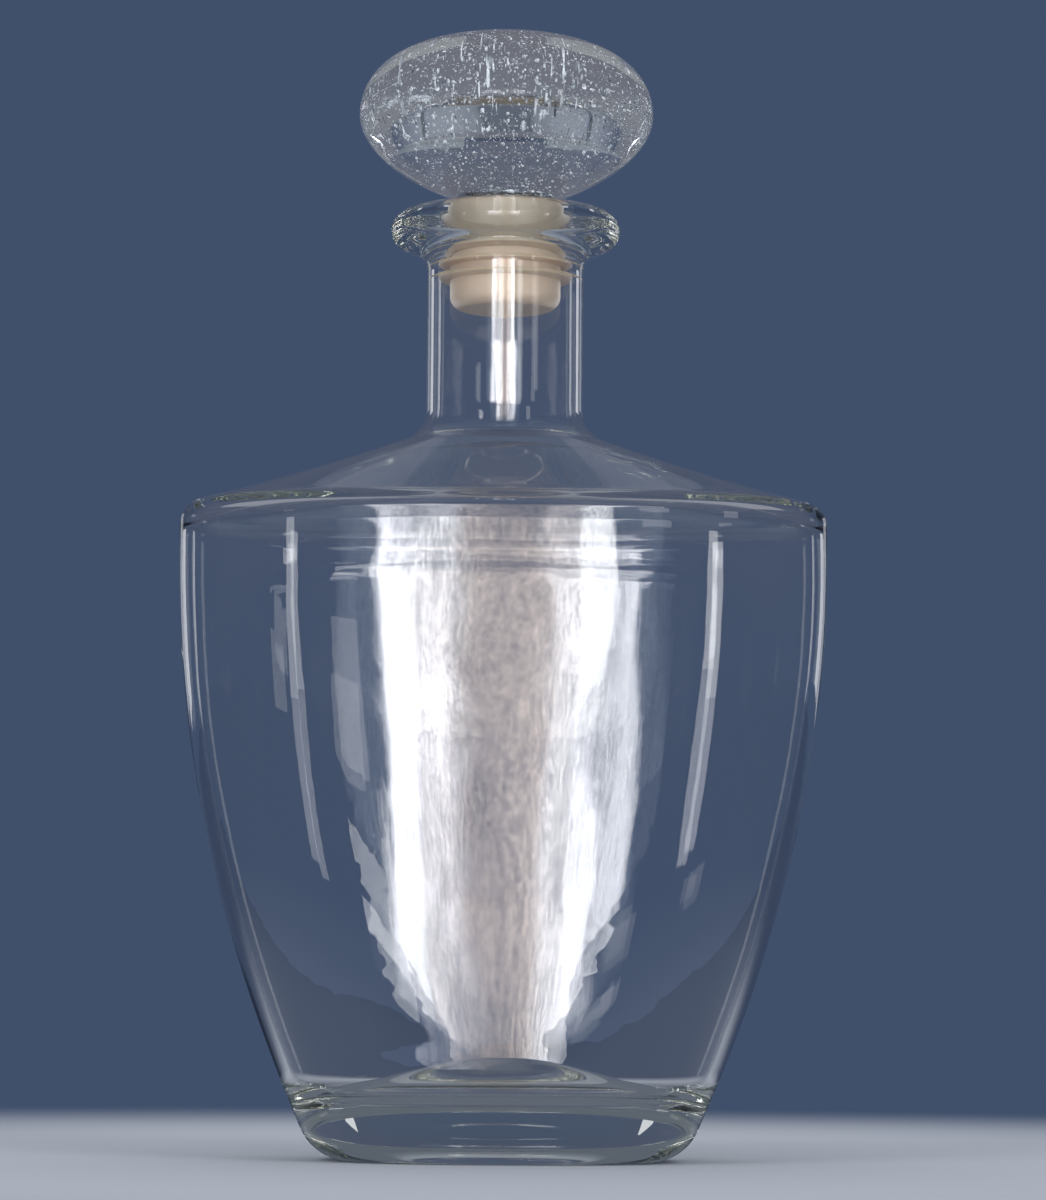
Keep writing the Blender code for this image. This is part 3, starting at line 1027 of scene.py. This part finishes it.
def light_linked(holder, lit=(), unlit=(), passed=()):
    """Says which pieces alone a lamp lights, or which it leaves out, and which its light passes."""
    receivers = bpy.data.collections.new(holder.name + "_lit")
    for name in lit + unlit:
        receivers.objects.link(bpy.data.objects[name])
    holder.light_linking.receiver_collection = receivers
    if unlit:
        for member in receivers.collection_objects:
            member.light_linking.link_state = "EXCLUDE"
    if passed:
        blockers = bpy.data.collections.new(holder.name + "_passed")
        for name in passed:
            blockers.objects.link(bpy.data.objects[name])
        holder.light_linking.blocker_collection = blockers
        for member in blockers.collection_objects:
            member.light_linking.link_state = "EXCLUDE"


def overhead(name, radiance, lit=(), unlit=()):
    """A broad square panel above the decanter."""
    lamp = bpy.data.lights.new(name, "AREA")
    lamp.size = OVERHEAD_WIDTH
    lamp.energy = radiance * 4 * OVERHEAD_WIDTH ** 2
    holder = bpy.data.objects.new(name, lamp)
    holder.matrix_world = Matrix.Translation((0.0, 0.0, OVERHEAD_HEIGHT))
    holder.visible_camera = False
    bpy.context.scene.collection.objects.link(holder)
    light_linked(holder, lit, unlit)


def make_lamps():
    """The window and its narrow neighbours in front, and soft panels for one piece or another."""
    glasses = ("knob_glass", "decanter_glass")
    bubbles = ("seed_bubbles", "finest_seed_bubbles")
    window = softbox("window", WINDOW_BEARING, WINDOW_WIDE, WINDOW_LOW, WINDOW_HIGH, WINDOW_RADIANCE)
    curtained(window)
    light_linked(window, unlit=("knob_glass",))
    for name, *panel in HIGH_PANES:
        light_linked(softbox("high_pane_" + name, *panel), unlit=("knob_glass",))
    for name, *panel in STRIPS:
        softbox("strip_" + name, *panel)
    for side, name in ((-1, "left"), (1, "right")):
        bearing, *panel = SOFT_PANEL
        soft = softbox("soft_" + name, side * bearing, *panel)
        light_linked(soft, unlit=glasses + ("sealing_sleeve",))
        bearing, *panel = BACK_PANEL
        back = softbox("back_" + name, side * bearing, *panel)
        light_linked(back, unlit=("knob_glass", "floor"))
        for bearing, *panel in INNER_PANELS:
            called = "inner_%s_%d" % (name, bearing)
            inner = softbox(called, side * bearing, *panel, "#fffcf8", NEAR, PLUG_END)
            light_linked(inner, lit=("sealing_sleeve",), passed=glasses)
        for bearing, *panel in SPARK_PANELS:
            called = "spark_%s_%d" % (name, bearing)
            spark = softbox(called, side * bearing, *panel, "#ffffff", NEAR, KNOB_MIDDLE)
            light_linked(spark, lit=bubbles, passed=("knob_glass", "sealing_sleeve") + bubbles)
    for name, *panel in VEILS:
        light_linked(softbox("veil_" + name, *panel, KNOB_MIDDLE), lit=("knob_glass",))
    overhead("top", radiance=0.45, unlit=glasses)
    overhead("top_on_decanter", radiance=0.14, lit=("decanter_glass",))
    overhead("top_on_knob", radiance=0.05, lit=("knob_glass",))


# The camera stands a little above the table, almost level, and looks up at the shoulders
CAMERA_PLACE = (0.0046, -0.9500, 0.0365)
CAMERA_RISE = math.radians(5.5)
CAMERA_ROLL = math.radians(0.39)
CAMERA_LENS = 124.5

# The edges of the glass go black unless light may be turned this often
BOUNCES = 64


def make_camera():
    data = bpy.data.cameras.new("camera")
    data.lens = CAMERA_LENS
    camera = bpy.data.objects.new("camera", data)
    turn = Matrix.Rotation(math.pi / 2 + CAMERA_RISE, 4, "X") @ Matrix.Rotation(CAMERA_ROLL, 4, "Z")
    camera.matrix_world = Matrix.Translation(CAMERA_PLACE) @ turn
    bpy.context.scene.collection.objects.link(camera)
    bpy.context.scene.camera = camera


def main():
    make_camera()
    make_body()
    make_knob()
    make_bubbles()
    make_sleeve()
    make_floor()
    make_world()
    make_lamps()
    scene = bpy.context.scene
    scene.view_settings.view_transform = "Standard"
    scene.cycles.max_bounces = BOUNCES
    scene.cycles.transmission_bounces = BOUNCES
    scene.cycles.glossy_bounces = BOUNCES


main()
